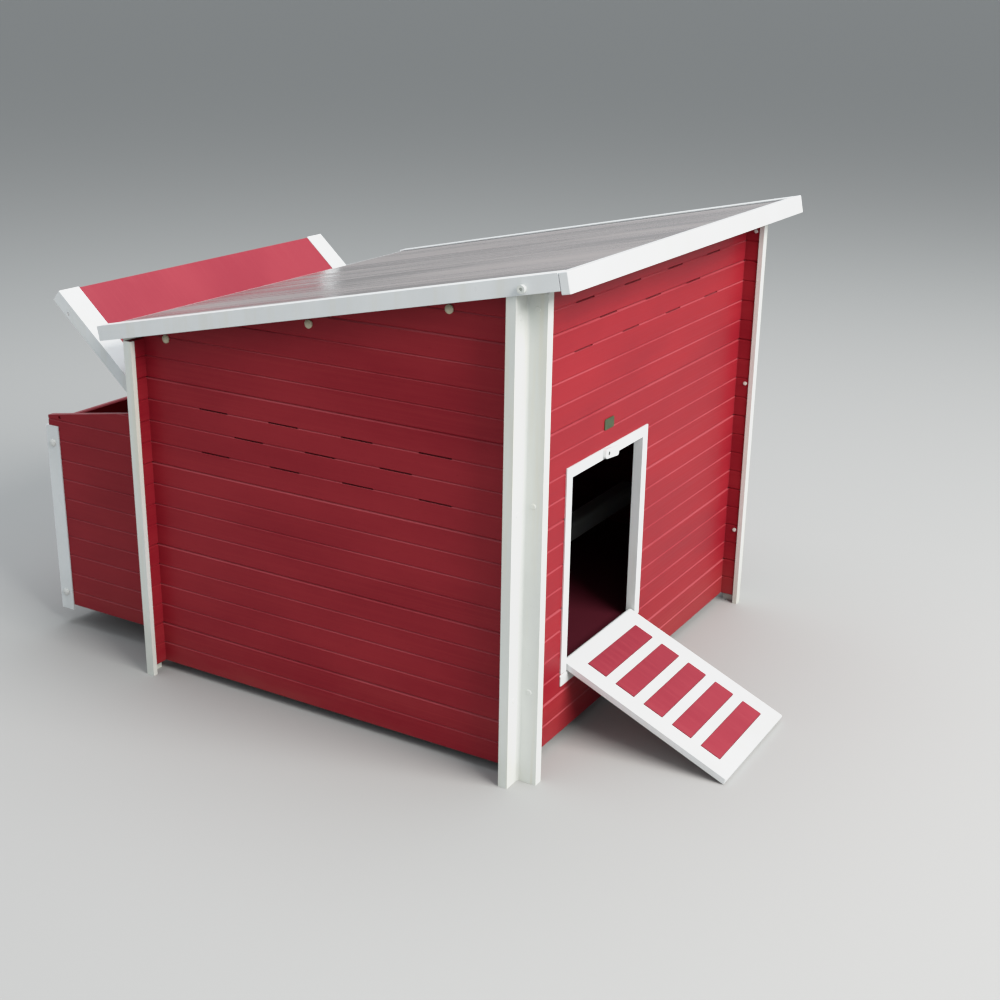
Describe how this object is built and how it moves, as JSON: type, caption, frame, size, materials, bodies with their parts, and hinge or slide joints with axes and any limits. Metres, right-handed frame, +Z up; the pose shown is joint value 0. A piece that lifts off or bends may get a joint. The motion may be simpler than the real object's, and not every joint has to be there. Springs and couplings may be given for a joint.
{
  "type": "chicken coop",
  "caption": "Red and white board-walled chicken coop with a tip-up mono-pitch roof, drop-down ramp door and a rear nest box with a lifting lid.",
  "frame": {"origin": "centre of the base of the coop's bounding box, on the ground, with the ramp down and the nest lid open", "axes": "+Z up; +Y from the front wall with the pop door towards the nest box at the back; +X along the front wall, to the right as seen from the front"},
  "size_m": [1.1372, 1.6194, 0.9963],
  "materials": {
    "red_wall": "satin grooved board",
    "red_panel": "satin sheet",
    "red_inside": "satin board",
    "white_post": "satin extrusion",
    "white_trim": "semi-gloss extrusion",
    "roof_skin": "semi-gloss sheet",
    "cream_fixing": "moulded",
    "steel_pin": "plain",
    "green_plate": "blank plate"
  },
  "bodies": {
    "house": {"front_board_1": "red_wall", "front_board_2": "red_wall", "front_board_3": "red_wall", "front_board_4": "red_wall", "front_board_5": "red_wall", "front_board_6": "red_wall", "back_board_1": "red_wall", "back_board_2": "red_wall", "back_board_3": "red_wall", "back_board_4": "red_wall", "back_board_5": "red_wall", "left_gable_board_1": "red_wall", "left_gable_board_2": "red_wall", "left_gable_board_3": "red_wall", "left_gable_board_4": "red_wall", "left_gable_top_boards": "red_wall", "right_gable_board_1": "red_wall", "right_gable_board_2": "red_wall", "right_gable_board_3": "red_wall", "right_gable_board_4": "red_wall", "right_gable_top_boards": "red_wall", "nest_left_side": "red_wall", "nest_right_side": "red_wall", "nest_outer_wall": "red_wall", "nest_hinge_rail": "red_wall", "floor_panel": "red_inside", "nest_floor": "red_inside", "nest_dividers": "red_inside", "roost_brackets": "red_inside", "inner_bearers": "red_inside", "front_left_post": "white_post", "front_right_post": "white_post", "back_left_post": "white_post", "back_right_post": "white_post", "roost_bars": "white_post", "nest_corner_strips": "white_trim", "door_header": "white_trim", "door_stiles": "white_trim", "door_sill": "white_trim", "cap_bolts": "cream_fixing", "roof_pivot_spacers": "cream_fixing", "roof_pivot_bolts": "white_post", "post_screws": "white_post", "turn_latch_screw": "steel_pin", "lid_hinge_pins": "steel_pin", "ramp_hinge_pin": "steel_pin", "lid_wall_brackets": "white_trim", "blank_plate": "green_plate"},
    "roof": {"roof_sheet": "roof_skin", "front_fascia": "white_trim", "left_barge_trim": "white_trim", "right_barge_trim": "white_trim", "rear_drip_edge": "white_trim", "roof_rails": "roof_skin"},
    "nest_lid": {"lid_panel": "red_panel", "lid_trims": "white_trim", "lid_hinge_leaves": "white_trim"},
    "ramp": {"ramp_panel": "white_trim", "ramp_treads": "red_panel"},
    "latch": {"turn_latch": "white_trim"}
  },
  "joints": [
    {"name": "ramp_hinge", "type": "hinge", "parent": "house", "child": "ramp", "pos_m": [-0.1735, -0.45191, 0.1634], "axis": [-1, 0, 0], "range_deg": [0, 113.8]},
    {"name": "lid_hinge", "type": "hinge", "parent": "house", "child": "nest_lid", "pos_m": [0, 0.48269, 0.563], "axis": [1, 0, 0], "range_deg": [-51.5, 26]},
    {"name": "roof_hinge", "type": "hinge", "parent": "house", "child": "roof", "pos_m": [0, -0.47431, 0.958], "axis": [1, 0, 0], "range_deg": [0, 60]},
    {"name": "latch_turn", "type": "hinge", "parent": "house", "child": "latch", "pos_m": [-0.191, -0.46476, 0.57], "axis": [0, 1, 0], "range_deg": [0, 84]}
  ]
}
